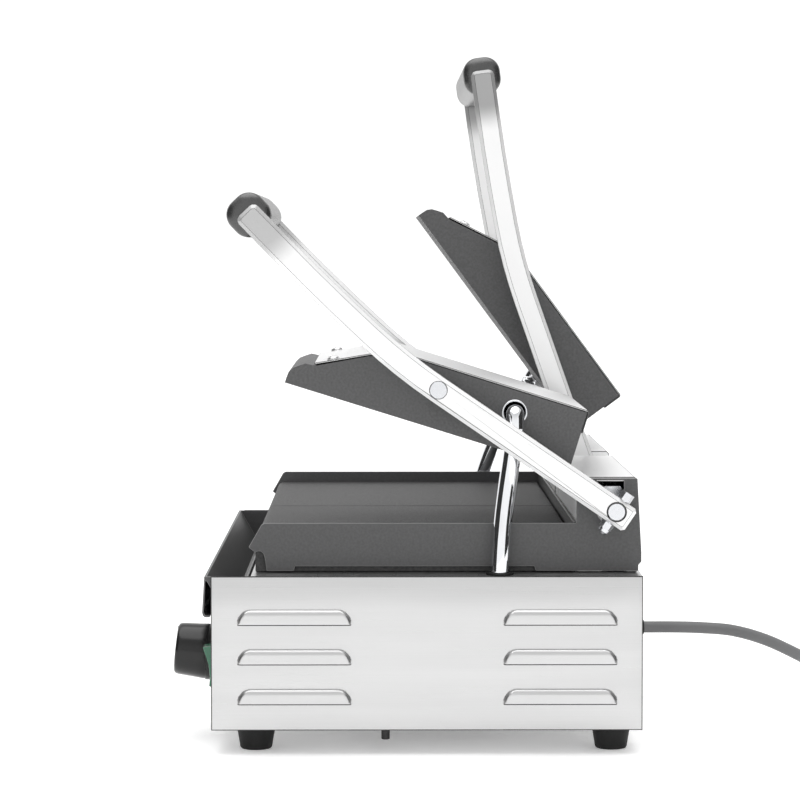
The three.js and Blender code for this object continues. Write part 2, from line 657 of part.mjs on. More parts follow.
function platenElement(side) {
  const xs = [70, 125, 180, 230].map((x) => side * x);
  const shape = tube(loopRoute(xs, 100, -60, 18.5 - ROD_AT[1]), 3.5, 5, 24);
  return part(`${sideName(side)}_platen_element`, shape, ELEMENT);
}

function platenRod(side) {
  const shape = bar('x', SHAFT_R, ...span(side, ROD_X), [0, 0]);
  return part(`${sideName(side)}_platen_rod`, shape, ZINC);
}

function pressUnit(side, armAngle) {
  const handle = new THREE.Group();
  handle.position.set(0, ...PIVOT);
  handle.rotation.x = -radians(armAngle);
  handle.add(arm(`${sideName(side)}_outer_arm`, span(side, OUTER_ARM_X), side));
  handle.add(arm(`${sideName(side)}_inner_arm`, span(side, INNER_ARM_X), side));
  handle.add(pivotShaft(side), grip(side), clampBolt(side, 'outer'), clampBolt(side, 'inner'));
  const platen = new THREE.Group();
  platen.position.set(0, -PIN_REACH, 0);
  platen.rotation.x = radians(PLATEN_DROOP);
  platen.add(platenCasting(side), platenCover(side), platenElement(side), platenRod(side));
  handle.add(platen);
  return handle;
}

// ---- assembly -----------------------------------------------------------------------------------
const press = new THREE.Group();
press.position.y = FRAME_SHIFT_Y;
press.add(bottomPlate(), frontPanel(), rearPanel(), deck(), dripTray(), rearSplashWall());
for (const side of [1, -1]) {
  press.add(sidePanel(side), foot(side, true), foot(side, false));
  press.add(thermostat(side), knob(side), rockerSwitch(side));
  press.add(lowerPlate(side), lowerElement(side), splashGuard(side), rearCover(side));
  press.add(bearing(side, 'outer'), bearing(side, 'inner'), springCoil(side), conduit(side));
}
press.add(cordGland(), powerCord(), cordCoil(), plug(), undersideStud());
press.add(pressUnit(1, RIGHT_ARM_ANGLE), pressUnit(-1, LEFT_ARM_ANGLE));

export default press;
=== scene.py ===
import json
import math

import bmesh
import bpy
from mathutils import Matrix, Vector


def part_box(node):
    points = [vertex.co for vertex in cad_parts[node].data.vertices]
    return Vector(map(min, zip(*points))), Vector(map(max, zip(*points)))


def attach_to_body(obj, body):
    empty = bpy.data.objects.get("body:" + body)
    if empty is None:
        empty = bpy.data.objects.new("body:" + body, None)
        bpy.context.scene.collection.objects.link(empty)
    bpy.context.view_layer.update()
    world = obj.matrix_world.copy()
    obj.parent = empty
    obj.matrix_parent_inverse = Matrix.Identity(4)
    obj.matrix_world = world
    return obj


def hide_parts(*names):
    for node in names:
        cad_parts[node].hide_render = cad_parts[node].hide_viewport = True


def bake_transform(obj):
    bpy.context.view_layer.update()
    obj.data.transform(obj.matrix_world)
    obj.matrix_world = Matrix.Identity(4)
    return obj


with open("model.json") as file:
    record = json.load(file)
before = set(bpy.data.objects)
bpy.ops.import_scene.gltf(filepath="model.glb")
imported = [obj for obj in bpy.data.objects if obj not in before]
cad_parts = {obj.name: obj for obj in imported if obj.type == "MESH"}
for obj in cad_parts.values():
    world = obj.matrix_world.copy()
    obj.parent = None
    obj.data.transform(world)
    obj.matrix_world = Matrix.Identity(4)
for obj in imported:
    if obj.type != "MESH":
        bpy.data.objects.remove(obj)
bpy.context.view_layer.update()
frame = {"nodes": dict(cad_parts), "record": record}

MM = 0.001
SHIFT_Y = 13.638            # the housing's middle in the part's own frame, as in the CAD source
SIDES = (("right", 1), ("left", -1))

# Measures of the CAD source, in millimetres and degrees.
PANEL_X, PANEL_Y, PANEL_Z = 285, 172.5, (20, 143.8)     # side sheets: place, half length, height
PIVOT = (151.5, 194.7)      # y and z of the main shafts
SHAFT_FACE_X = 281          # outer face of the outer arms
PIN_REACH = 172.6           # main shaft to the platen's rod
PLATEN_DROOP = 17.1         # how far a platen leans down from its arms
PLATEN_FACE_X = 254         # outer face of a platen
ROD_AT = (121, 32)          # rod's place from the platen's lower rear edge: forward, up
COVER_SLOPE = math.atan2(28.8, 57)      # front slope of a platen's cover
GRIP_BEND = 12              # the arms' bend between shaft and grip
UNIT_ANGLE = {"right": 34.4, "left": 70.6}


def at(x, y, z):
    """A point given in millimetres from the housing's middle."""
    return Vector((x * MM, (y + SHIFT_Y) * MM, z * MM))


# ---- camera -------------------------------------------------------------------------------------
def make_camera():
    data = bpy.data.cameras.new("camera")
    data.lens = 128.2
    data.sensor_width = 36
    data.clip_end = 100
    camera = bpy.data.objects.new("camera", data)
    camera.location = at(2545, -37.3, 409)
    down, aside = math.radians(3.15), math.radians(0.40)
    level = math.cos(down)
    look = Vector((-level * math.cos(aside), level * math.sin(aside), -math.sin(down)))
    camera.rotation_euler = look.to_track_quat("-Z", "Y").to_euler()
    bpy.context.scene.collection.objects.link(camera)
    bpy.context.scene.camera = camera


# ---- materials ----------------------------------------------------------------------------------
class Nodes:
    """A material under construction: a Principled shader and helpers that wire nodes into it."""

    def __init__(self, name, color, roughness, metallic=0.0):
        self.material = bpy.data.materials.new(name)
        self.material.use_nodes = True
        self.tree = self.material.node_tree
        self.shader = self.tree.nodes["Principled BSDF"]
        self.shader.inputs["Base Color"].default_value = (*color, 1)
        self.shader.inputs["Roughness"].default_value = roughness
        self.shader.inputs["Metallic"].default_value = metallic

    def node(self, kind, **values):
        made = self.tree.nodes.new(kind)
        for key, value in values.items():
            setattr(made, key, value)
        return made

    def link(self, out, into):
        self.tree.links.new(out, into)

    def place(self, scale):
        coordinates = self.node("ShaderNodeTexCoord")
        mapping = self.node("ShaderNodeMapping")
        mapping.inputs["Scale"].default_value = scale
        self.link(coordinates.outputs["Object"], mapping.inputs["Vector"])
        return mapping.outputs["Vector"]

    def noise(self, scale, detail=3.0, stretch=(1, 1, 1), roughness=0.55):
        made = self.node("ShaderNodeTexNoise")
        made.inputs["Scale"].default_value = scale
        made.inputs["Detail"].default_value = detail
        made.inputs["Roughness"].default_value = roughness
        self.link(self.place(stretch), made.inputs["Vector"])
        return made.outputs["Fac"]

    def ramp(self, source, low, high, socket):
        """Maps a 0..1 texture onto a number or colour input and returns the mapped value."""
        if isinstance(low, tuple):
            made = self.node("ShaderNodeMix", data_type="RGBA")
            self.link(source, made.inputs["Factor"])
            for entry in made.inputs:
                if entry.type == "RGBA":
                    entry.default_value = (*(low if entry.name == "A" else high), 1)
            result = next(o for o in made.outputs if o.type == "RGBA")
        else:
            made = self.node("ShaderNodeMapRange")
            self.link(source, made.inputs["Value"])
            made.inputs["From Min"].default_value = 0.25
            made.inputs["From Max"].default_value = 0.75
            made.inputs["To Min"].default_value = low
            made.inputs["To Max"].default_value = high
            result = made.outputs["Result"]
        self.link(result, self.shader.inputs[socket])
        return result

    def bump(self, source, strength, distance):
        made = self.node("ShaderNodeBump")
        made.inputs["Strength"].default_value = strength
        made.inputs["Distance"].default_value = distance
        self.link(source, made.inputs["Height"])
        self.link(made.outputs["Normal"], self.shader.inputs["Normal"])


def grey(value):
    return (value, value, value)


def scaled(color, factor):
    return tuple(channel * factor for channel in color)


def brushed(name, stretch):
    """Sheet steel with fine brush lines; stretch is small along the lines."""
    color = grey(0.565)
    made = Nodes(name, color, 0.34, 1.0)
    lines = made.noise(1.0, 4.0, stretch, 0.7)
    made.ramp(lines, 0.24, 0.44, "Roughness")
    broad = made.noise(1.0, 2.0, tuple(min(step, 40) for step in stretch))
    both = made.node("ShaderNodeMath", operation="ADD")
    made.link(lines, both.inputs[0])
    made.link(broad, both.inputs[1])
    mean = made.node("ShaderNodeMath", operation="MULTIPLY")
    made.link(both.outputs[0], mean.inputs[0])
    mean.inputs[1].default_value = 0.5
    made.ramp(mean.outputs[0], scaled(color, 0.84), scaled(color, 1.16), "Base Color")
    made.bump(lines, 0.12, 0.00004)
    return made.material


def polished(name, grip=None, shade=1.0):
    """Satin-polished steel; an arm's own kind is less metallic and carries painted shade around its
    grip, which stands at y and z.
    """
    made = Nodes(name, grey(0.8), 0.3, 0.38 if grip else 0.6)
    lines = made.noise(1.0, 3.0, (1100, 12, 12))
    made.ramp(lines, 0.27, 0.35, "Roughness")
    tint = made.ramp(lines, grey(0.76), grey(0.83), "Base Color")
    if grip:
        paint_shade_by(made, tint, grip, shade)
    return made.material


def paint_shade_by(made, tint, place, shade):
    """Paints shade onto a colour around an axis along X: darkens it to shade of itself there, clear of
    it 52 mm away. This painted shade stands in for the darker reflections near a grip.
    """
    coordinates = made.node("ShaderNodeTexCoord")
    flatten = made.node("ShaderNodeVectorMath", operation="MULTIPLY")
    flatten.inputs[1].default_value = (0, 1, 1)
    made.link(coordinates.outputs["Object"], flatten.inputs[0])
    away = made.node("ShaderNodeVectorMath", operation="DISTANCE")
    away.inputs[1].default_value = (0, *place)
    made.link(flatten.outputs["Vector"], away.inputs[0])
    # painted shade: full at the grip's axis, gone 52 mm away
    fade = made.node("ShaderNodeMapRange", interpolation_type="SMOOTHSTEP")
    fade.inputs["From Min"].default_value = 0.026
    fade.inputs["From Max"].default_value = 0.052
    fade.inputs["To Min"].default_value = shade
    fade.inputs["To Max"].default_value = 1.0
    made.link(away.outputs["Value"], fade.inputs["Value"])
    mix = made.node("ShaderNodeVectorMath", operation="SCALE")
    made.link(tint, mix.inputs[0])
    made.link(fade.outputs["Result"], mix.inputs["Scale"])
    made.link(mix.outputs["Vector"], made.shader.inputs["Base Color"])


def plated(name, color, roughness):
    """Bright metal with a faint cloud in its gloss."""
    made = Nodes(name, color, roughness, 1.0)
    cloud = made.noise(220, 3.0)
    made.ramp(cloud, roughness * 0.7, roughness * 1.4, "Roughness")
    made.ramp(cloud, scaled(color, 0.94), color, "Base Color")
    return made.material


def coated(name, color, roughness, grain, strength, distance=0.00015, gloss=0.5,
           mottle=(18, 0.8, 1.25)):
    """Painted, cast or moulded surface: fine grain in its height and gloss, and a mottled
    colour given as the mottle's scale and its darkest and lightest share of the colour."""
    made = Nodes(name, color, roughness)
    made.shader.inputs["Specular IOR Level"].default_value = gloss
    fine = made.noise(grain, 4.0)
    made.ramp(fine, roughness * 0.82, roughness * 1.2, "Roughness")
    scale, low, high = mottle
    made.ramp(made.noise(scale, 2.0), scaled(color, low), scaled(color, high), "Base Color")
    made.bump(fine, strength, distance)
    return made.material


def lens(name, color):
    """Tinted plastic that lets some light through."""
    made = Nodes(name, color, 0.18)
    made.ramp(made.noise(90, 2.0), scaled(color, 0.8), scaled(color, 1.2), "Base Color")
    made.shader.inputs["Transmission Weight"].default_value = 0.2
    made.shader.inputs["Coat Weight"].default_value = 0.5
    return made.material


def grip_centre(name):
    """y and z of a grip's middle, in metres."""
    low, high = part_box(f"{name}_grip")
    return ((low[1] + high[1]) / 2, (low[2] + high[2]) / 2)


def make_materials():
    sheet_mottle, cast_mottle, plate_mottle = (520, 0.7, 1.35), (520, 0.6, 1.45), (420, 0.1, 2.2)
    return {
        "side_steel": brushed("brushed_steel_side", (4, 4, 2200)),
        "deck_steel": brushed("brushed_steel_deck", (4, 2200, 4)),
        "polished_steel": polished("polished_steel"),
        # the arms' steel carries painted shade that darkens it near each grip
        "right_arm_steel": polished("right_arm_steel", grip_centre("right"), 0.55),
        "left_arm_steel": polished("left_arm_steel", grip_centre("left"), 0.4),
        "black_sheet": coated("black_sheet", (0.06, 0.06, 0.061), 0.44, 1500, 0.12, mottle=sheet_mottle),
        "cast_iron": coated("cast_iron", (0.066, 0.066, 0.067), 0.5, 1700, 0.35, mottle=cast_mottle),
        "plate_iron": coated("plate_iron", grey(0.036), 0.55, 900, 0.9, 0.0004, 0.4, plate_mottle),
        "grip_plastic": coated("grip_plastic", grey(0.022), 0.3, 700, 0.04, gloss=1.0),
        "black_plastic": coated("black_plastic", (0.012, 0.012, 0.013), 0.34, 1400, 0.12),
        "knob_plastic": coated("knob_plastic", grey(0.007), 0.24, 900, 0.05, gloss=0.4),
        # edge_shade and edge_light are painted shade and a painted highlight for rounded edges
        "edge_shade": plated("edge_shade", grey(0.075), 0.3),
        "edge_light": coated("edge_light", grey(0.16), 0.4, 1500, 0.05),
        "screw_steel": plated("screw_steel", grey(0.8), 0.3),
        "print_white": coated("print_white", grey(0.7), 0.5, 900, 0.05),
        "print_black": coated("print_black", grey(0.02), 0.5, 900, 0.05),
        "amber_plastic": lens("amber_plastic", (0.75, 0.28, 0.02)),
        "rubber": coated("rubber", grey(0.008), 0.6, 1200, 0.3, gloss=0.3),
        "green_plastic": lens("green_plastic", (0.01, 0.15, 0.07)),
        "element_sheath": coated("element_sheath", (0.10, 0.085, 0.075), 0.5, 900, 0.3),
        "chrome": plated("chrome", (0.84, 0.85, 0.87), 0.05),
        "cord_sheath": coated("cord_sheath", (0.125, 0.126, 0.128), 0.5, 1300, 0.2),
        "plated_steel": plated("plated_steel", (0.66, 0.67, 0.69), 0.22),
    }


def paint(piece, material):
    piece.data.materials.clear()
    piece.data.materials.append(material)


SHARP = math.radians(40)      # a turned or pressed piece stays sharp above this angle


# ---- mesh helpers -------------------------------------------------------------------------------
def new_piece(name, vertices, faces, material, smooth=True):
    mesh = bpy.data.meshes.new(name)
    mesh.from_pydata([tuple(v) for v in vertices], [], faces)
    mesh.update()
    piece = bpy.data.objects.new(name, mesh)
    bpy.context.scene.collection.objects.link(piece)
    paint(piece, material)
    for polygon in mesh.polygons:
        polygon.use_smooth = smooth
    return piece


def edit(piece, change):
    """Passes a piece's mesh through a function that changes it."""
    mesh = bmesh.new()
    mesh.from_mesh(piece.data)
    change(mesh)
    mesh.to_mesh(piece.data)
    mesh.free()


def face_outward(mesh):
    bmesh.ops.recalc_face_normals(mesh, faces=mesh.faces)


def attach(piece, body, slot, *replaced):
    """Puts a piece on a body and hides the CAD nodes it stands for; slot is not used."""
    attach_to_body(piece, body)
    if replaced:
        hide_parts(*replaced)


def soften(piece, width, edge_material):
    """Rounds the sharp edges of a CAD node and keeps its flat faces flat."""
    for polygon in piece.data.polygons:
        polygon.use_smooth = True
    joined = piece.modifiers.new("weld", "WELD")
    joined.merge_threshold = 0.00001
    flat = piece.modifiers.new("flat", "DECIMATE")
    flat.decimate_type = "DISSOLVE"
    flat.angle_limit = math.radians(0.6)
    bevel = piece.modifiers.new("edges", "BEVEL")
    bevel.width = width
    bevel.segments = 2
    bevel.limit_method = "ANGLE"
    bevel.angle_limit = math.radians(32)
    bevel.miter_outer = "MITER_ARC"
    # the bevel's faces take the edge material: painted shade on steel, a painted highlight on black
    # sheet
    if edge_material:
        piece.data.materials.append(edge_material)
        bevel.material = 1
    normals = piece.modifiers.new("normals", "WEIGHTED_NORMAL")
    normals.keep_sharp = True
    normals.weight = 100


def ring_faces(sides, rings, closed=False):
    """Faces between rings of points; an open run of rings also gets its two ends."""
    faces = []
    for i in range(rings if closed else rings - 1):
        low, high = i * sides, (i + 1) % rings * sides
        for k in range(sides):
            ahead = (k + 1) % sides
            faces.append((low + k, low + ahead, high + ahead, high + k))
    if not closed:
        faces.append(tuple(reversed(range(sides))))
        faces.append(tuple(range((rings - 1) * sides, rings * sides)))
    return faces


def circle(middle, side, other, radius, sides):
    turns = [2 * math.pi * k / sides for k in range(sides)]
    return [middle + radius * (math.cos(turn) * side + math.sin(turn) * other) for turn in turns]


def spin(profile, origin, axis, sides):
    """Rings of points from (radius, height) pairs in millimetres about an axis through origin."""
    along = Vector(axis).normalized()
    side = along.orthogonal().normalized()
    other = along.cross(side)
    points = []
    for radius, height in profile:
        points += circle(Vector(origin) + height * MM * along, side, other, radius * MM, sides)
    return points


def smooth_points(points, steps=8):
    """A Catmull-Rom curve through the points."""
    padded = [2 * points[0] - points[1], *points, 2 * points[-1] - points[-2]]
    out = []
    for i in range(1, len(padded) - 2):
        a, b, c, d = padded[i - 1:i + 3]
        for k in range(steps):
            t = k / steps
            out.append(0.5 * ((2 * b) + (c - a) * t + (2 * a - 5 * b + 4 * c - d) * t * t
                              + (3 * b - a - 3 * c + d) * t ** 3))
    out.append(points[-1])
    return out


def tube_mesh(name, path, radius, sides, material):
    """A closed tube along a path, with flat ends."""
    vertices = []
    side = Vector((0, 0, 1))
    for i, point in enumerate(path):
        ahead = (path[min(i + 1, len(path) - 1)] - path[max(i - 1, 0)]).normalized()
        side = (side - ahead * side.dot(ahead)).normalized()
        vertices += circle(point, side, ahead.cross(side), radius, sides)
    return new_piece(name, vertices, ring_faces(sides, len(path)), material)


def lathe(name, profile, origin, axis, material, sides=32):
    """A closed turned piece."""
    return new_piece(name, spin(profile, origin, axis, sides), ring_faces(sides, len(profile)), material)


def washer(name, inner, outer, thick, origin, axis, material):
    """A rounded washer or collar around an axis."""
    edge = min(0.4, thick / 3)
    profile = [(inner, 0), (outer - edge, 0), (outer, edge), (outer, thick - edge),
               (outer - edge, thick), (inner + edge, thick), (inner, thick - edge)]
    sides = 48
    points = spin(profile, origin, axis, sides)
    piece = new_piece(name, points, ring_faces(sides, len(profile), closed=True), material)
    edit(piece, face_outward)
    piece.data.set_sharp_from_angle(angle=SHARP)
    return piece


def beam(name, size, middle, forward, upward, material, width):
    """A small rounded bar: size is across, along forward, and along upward."""
    forward = Vector(forward).normalized()
    upward = (upward - forward * upward.dot(forward)).normalized()
    across = upward.cross(forward)
    half = Vector(size) * 0.5 * MM
    corners = [middle + across * a * half.x + forward * b * half.y + upward * c * half.z
               for a in (-1, 1) for b in (-1, 1) for c in (-1, 1)]
    faces = [(0, 1, 3, 2), (4, 6, 7, 5), (0, 4, 5, 1), (2, 3, 7, 6), (0, 2, 6, 4), (1, 5, 7, 3)]
    piece = new_piece(name, corners, faces, material)

    def round_edges(mesh):
        face_outward(mesh)
        bmesh.ops.bevel(mesh, geom=mesh.edges[:] + mesh.verts[:], offset=width * MM, segments=2,
                        affect="EDGES")
        for face in mesh.faces:
            face.smooth = True

    edit(piece, round_edges)
    return piece


# ---- power cord ---------------------------------------------------------------------------------
CORD_R = 5.2
COIL_R = 54
COIL_CENTRE = (-59.2, 486)
CORD_ROUTE = [(0, 167.5, 64.5), (0, 202, 64.5), (0, 226, 64.5), (0, 251, 63.8), (0, 280, 61.2),
              (0, 310, 52.6), (0, 340, 38.6), (0, 368, 23.6), (0, 396, 11.6), (0, 422, 6.2),
              (0, 448, 5.25), (0, 468, 5.2)]


def ease(t, start, end):
    """Rises smoothly from 0 at start to 1 at end."""
    share = max(0.0, min(1.0, (t - start) / (end - start)))
    return share * share * (3 - 2 * share)


def coil_points():
    """Outer turn, inner turn, then up and out again, leaving along -Y at the left."""
    points = []
    inner, outer = COIL_R - CORD_R, COIL_R + CORD_R
    for degrees in range(0, 1261, 20):
        inward = ease(degrees, 262, 346) - ease(degrees, 970, 1056)
        radius = outer + (inner - outer) * inward
        height = CORD_R * (1 + 2 * ease(degrees, 640, 702))
        turn = math.radians(degrees)
        points.append(at(COIL_CENTRE[0] + radius * math.cos(turn),
                         COIL_CENTRE[1] + radius * math.sin(turn), height))
    return points


def make_cord(materials):
    outside = COIL_CENTRE[0] - COIL_R - CORD_R
    tail = [at(outside, COIL_CENTRE[1] - back, 3 * CORD_R) for back in (14, 30)]
    path = smooth_points([at(*p) for p in CORD_ROUTE] + coil_points() + tail, 6)
    data = bpy.data.curves.new("mains_cord", "CURVE")
    data.dimensions = "3D"
    data.bevel_depth = CORD_R * MM
    data.bevel_resolution = 6
    data.use_fill_caps = True
    spline = data.splines.new("POLY")
    spline.points.add(len(path) - 1)
    for point, place in zip(spline.points, path):
        point.co = (*place, 1)
    cord = bpy.data.objects.new("mains_cord", data)
    bpy.context.scene.collection.objects.link(cord)
    data.materials.append(materials["cord_sheath"])
    attach(cord, "base", "cord_sheath", "power_cord", "cord_coil")


# ---- carried-over CAD nodes ---------------------------------------------------------------------
REPLACED = ("side_panel", "knob", "grip", "conduit", "power_cord", "cord_coil")
FLAT_SHEETS = ("rear_panel", "bottom_plate")      # slotted sheets, left with their square edges
PLUG_FACE_Y = 396.9                               # the plug's pins start here
ARM_EDGE, PANEL_EDGE = 0.0011, 0.0003             # widths of rounded edges, in metres
EDGE = {"brushed_steel": 0.0004, "black_sheet": 0.0005, "cast_iron": 0.0012,
        "polished_steel": 0.0007, "black_plastic": 0.0006, "rubber": 0.0008,
        "green_plastic": 0.0008, "plated_steel": 0.0004}
# edge materials by slot: painted shade on steel edges, a painted highlight on black sheet edges
EDGE_PAINTED_SHADE_AND_LIGHT = {"polished_steel": "edge_shade", "black_sheet": "edge_light",
              "brushed_steel": "edge_shade"}


def material_key(name, slot):
    if name in ("deck", "bottom_plate"):
        return "deck_steel"
    if name.endswith("_arm"):
        return name.split("_")[0] + "_arm_steel"
    if name.endswith("lower_plate"):
        return "plate_iron"
    return "side_steel" if slot == "brushed_steel" else slot


def edge_width(name, slot):
    if name in FLAT_SHEETS:
        return 0
    if name in ("front_panel", "deck"):
        return PANEL_EDGE
    return ARM_EDGE if name.endswith("_arm") else EDGE.get(slot, 0)


def finish_cad_nodes(materials):
    slots = {row["node"]: row["material_slot"] for row in frame["record"]["subparts"]}
    for name, node in frame["nodes"].items():
        if name.endswith(REPLACED):
            continue
        slot = slots[name]
        paint(node, materials[material_key(name, slot)])
        if name == "plug":
            node.data.materials.append(materials["plated_steel"])
            front = at(0, PLUG_FACE_Y, 0).y
            for polygon in node.data.polygons:
                polygon.material_index = 1 if polygon.center.y < front else 0
        for layer in ("custom_normal", "sharp_edge"):
            if layer in node.data.attributes:
                node.data.attributes.remove(node.data.attributes[layer])
        width = edge_width(name, slot)
        if width:
            soften(node, width, materials.get(EDGE_PAINTED_SHADE_AND_LIGHT.get(slot)))
        else:
            for polygon in node.data.polygons:
                polygon.use_smooth = name not in FLAT_SHEETS


# ---- conduits -----------------------------------------------------------------------------------
CONDUIT_R = 7.4
CONDUIT_SIDES = 28
HANDLE_SHARE = 0.62         # share of a conduit that lies between the deck and the arms
CONDUIT_ROUTES = {
    "right": [(273, 58.5, 130), (273, 58.6, 148), (271.4, 59.8, 170), (266.4, 62, 192),
              (262.6, 65, 214), (262, 68.2, 236), (262, 70.4, 254), (261.9, 71, 263.6),
              (258, 71.3, 271.6), (246, 71.3, 272.9)],
    "left": [(273, 58.5, 130), (273, 58.8, 148), (271.4, 61.8, 170), (266.4, 68.6, 194),
             (262.6, 80, 222), (262, 98, 254), (262, 116.6, 284), (261.9, 127.4, 297.4),
             (258, 132.3, 304.2), (246, 132.8, 305.2)],
}


def make_conduits(materials):
    for name, side in SIDES:
        path = smooth_points([at(side * x, y, z) for x, y, z in CONDUIT_ROUTES[name]])
        split = int(len(path) * HANDLE_SHARE)
        stretches = (("lower", path[:split + 1], "base", f"{name}_handle"),
                     ("upper", path[split:], f"{name}_handle", f"{name}_platen"))
        for place, points, first, second in stretches:
            tube = tube_mesh(f"{name}_conduit_{place}", points, CONDUIT_R * MM, CONDUIT_SIDES,
                             materials["chrome"])
            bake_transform(tube)
            if place == "lower":
                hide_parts(f"{name}_conduit")


# ---- side panels ---------------------------------------------------------------------------------
LOUVRE_Y = (-105.9, 106.7)
LOUVRE_Z = (40.9, 72.9, 104.6)
LOUVRE_LENGTH, LOUVRE_HEIGHT, LOUVRE_DEPTH, LOUVRE_END = 91, 12.5, 4.1, 11
LOUVRE_LIP = 0.9            # the lower edge of a louvre, dark with painted shade
HEM = 0.8                   # the sheet's rounded border
SHEET = 1.4


def louvre_rise(along, up):
    """How far a louvre stands out of the sheet, at a place measured from its slit's middle."""
    share = min(1.0, up / LOUVRE_HEIGHT)
    hood = math.sqrt(1 - share * share)
    corner = max(0.0, 1 - (LOUVRE_LENGTH / 2 - abs(along)) / LOUVRE_END)
    room = 1 - math.hypot(share, corner)
    if room <= 0:
        return 0.0
    wall = math.sqrt(1 - (1 - min(room * LOUVRE_HEIGHT / 3, 1.0)) ** 2)
    tucked = 0.82 if up < LOUVRE_LIP / 2 else 1.0
    return LOUVRE_DEPTH * min(wall, 0.25 + hood) * tucked


def sheet_rise(y, z):
    """How far the sheet stands out at y and z: hemmed at its border, swollen at each louvre."""
    if abs(y) == PANEL_Y or z in PANEL_Z:
        return -HEM / 2
    for middle in LOUVRE_Y:
        for slit in LOUVRE_Z:
            beside = abs(y - middle) < LOUVRE_LENGTH / 2
            if beside and slit + 0.0005 < z < slit + LOUVRE_HEIGHT:
                return louvre_rise(y - middle, z - slit)
    return 0.0


def sheet_steps(low, high, starts, run):
    """Grid places over a sheet: its borders, and the same fine run from each start."""
    places = [low, low + HEM, high - HEM, high]
    for start in starts:
        places += [start + step for step in run]
    return sorted(places)


def is_lip(low, high, rise):
    """Whether the grid row between two heights is the lip of a louvre that stands out there."""
    nearest = min(LOUVRE_Z, key=lambda slit: abs(slit - high))
    thin = LOUVRE_LIP + 0.01
    return high - low < thin and rise > 1 and high - nearest < thin


def make_side_panel(name, side, materials):
    half = LOUVRE_LENGTH / 2
    ends = [i * 0.55 for i in range(26)]
    along = [step - half for step in ends] + [0] + [half - step for step in reversed(ends)]
    swell = LOUVRE_HEIGHT - LOUVRE_LIP
    up = [0, 0.001, LOUVRE_LIP]
    up += [LOUVRE_LIP + swell * math.sin(math.pi / 2 * i / 20) for i in range(1, 21)]
    ys = sheet_steps(-PANEL_Y, PANEL_Y, LOUVRE_Y, along)
    zs = sheet_steps(*PANEL_Z, LOUVRE_Z, up)
    rises = [[sheet_rise(y, z) for y in ys] for z in zs]
    vertices = [at(side * (PANEL_X + rise), y, z)
                for row, z in zip(rises, zs) for rise, y in zip(row, ys)]
    faces, shaded = [], []
    width = len(ys)
    for k in range(len(zs) - 1):
        for i in range(width - 1):
            corner = k * width + i
            face = (corner, corner + 1, corner + 1 + width, corner + width)
            faces.append(face if side > 0 else face[::-1])
            # the border cells and each louvre's lip take edge_shade: painted shade
            border = k in (0, len(zs) - 2) or i in (0, width - 2)
            shaded.append(border or is_lip(zs[k], zs[k + 1], rises[k + 1][i] + rises[k + 1][i + 1]))
    panel = new_piece(f"{name}_side_sheet", vertices, faces, materials["side_steel"])
    panel.data.materials.append(materials["edge_shade"])
    for polygon, dark in zip(panel.data.polygons, shaded):
        polygon.material_index = 1 if dark else 0
    panel.data.set_sharp_from_angle(angle=SHARP)
    edit(panel, sharpen_border)
    sheet = panel.modifiers.new("sheet", "SOLIDIFY")
    sheet.thickness = SHEET * MM
    sheet.offset = -1
    # the sheet's rim takes edge_shade too: painted shade
    sheet.material_offset_rim = 1
    attach(panel, "base", "brushed_steel", f"{name}_side_panel")


def sharpen_border(mesh):
    for edge in mesh.edges:
        if edge.is_boundary:
            edge.smooth = False


# ---- knobs, lamps and dials ---------------------------------------------------------------------
KNOB_X, KNOB_Z, KNOB_TILT = 190, 69.6, math.radians(6)
LAMP_X = 140
MARK_REACH = 30.5
KNOB_PROFILE = [(0.2, 3.2), (22.4, 3.2), (23.2, 3.9), (23.5, 5.5), (23.5, 7.6), (22.7, 8.2),
                (22.7, 9), (22.9, 9.6), (22.3, 16), (21.5, 28), (21.3, 30.4), (20.9, 32.4),
                (20.1, 33.7), (18.6, 34.3), (16.8, 34.4), (16, 34.1), (0.2, 34.1)]
LAMP_PROFILE = [(0.2, 0), (5.6, 0), (5.6, 2.4), (5, 3.6), (3.4, 4.5), (0.2, 4.8)]
RIM_PROFILE = [(6, 0.2), (7.8, 0.2), (7.8, 1.2), (7.2, 1.9), (6, 1.9), (6, 0.2)]


def make_knob(name, root, materials):
    forward = Vector((0, -math.cos(KNOB_TILT), math.sin(KNOB_TILT)))
    upward = Vector((0, math.sin(KNOB_TILT), math.cos(KNOB_TILT)))
    body = f"{name}_knob"
    knob = lathe(f"{name}_dial_knob", KNOB_PROFILE, root, forward, materials["knob_plastic"], 72)
    knob.data.set_sharp_from_angle(angle=SHARP)
    attach(knob, body, "black_plastic", body)
    bar = beam(f"{name}_knob_pointer", (3, 1.2, 15), root + forward * 0.0341 + upward * 0.0115,
               forward, Vector((0, 0, 1)), materials["knob_plastic"], 0.5)
    attach(bar, body, "black_plastic")
    line = beam(f"{name}_knob_line", (1.1, 0.5, 11), root + forward * 0.0348 + upward * 0.0125,
                forward, Vector((0, 0, 1)), materials["print_white"], 0.15)
    attach(line, body, "black_plastic")


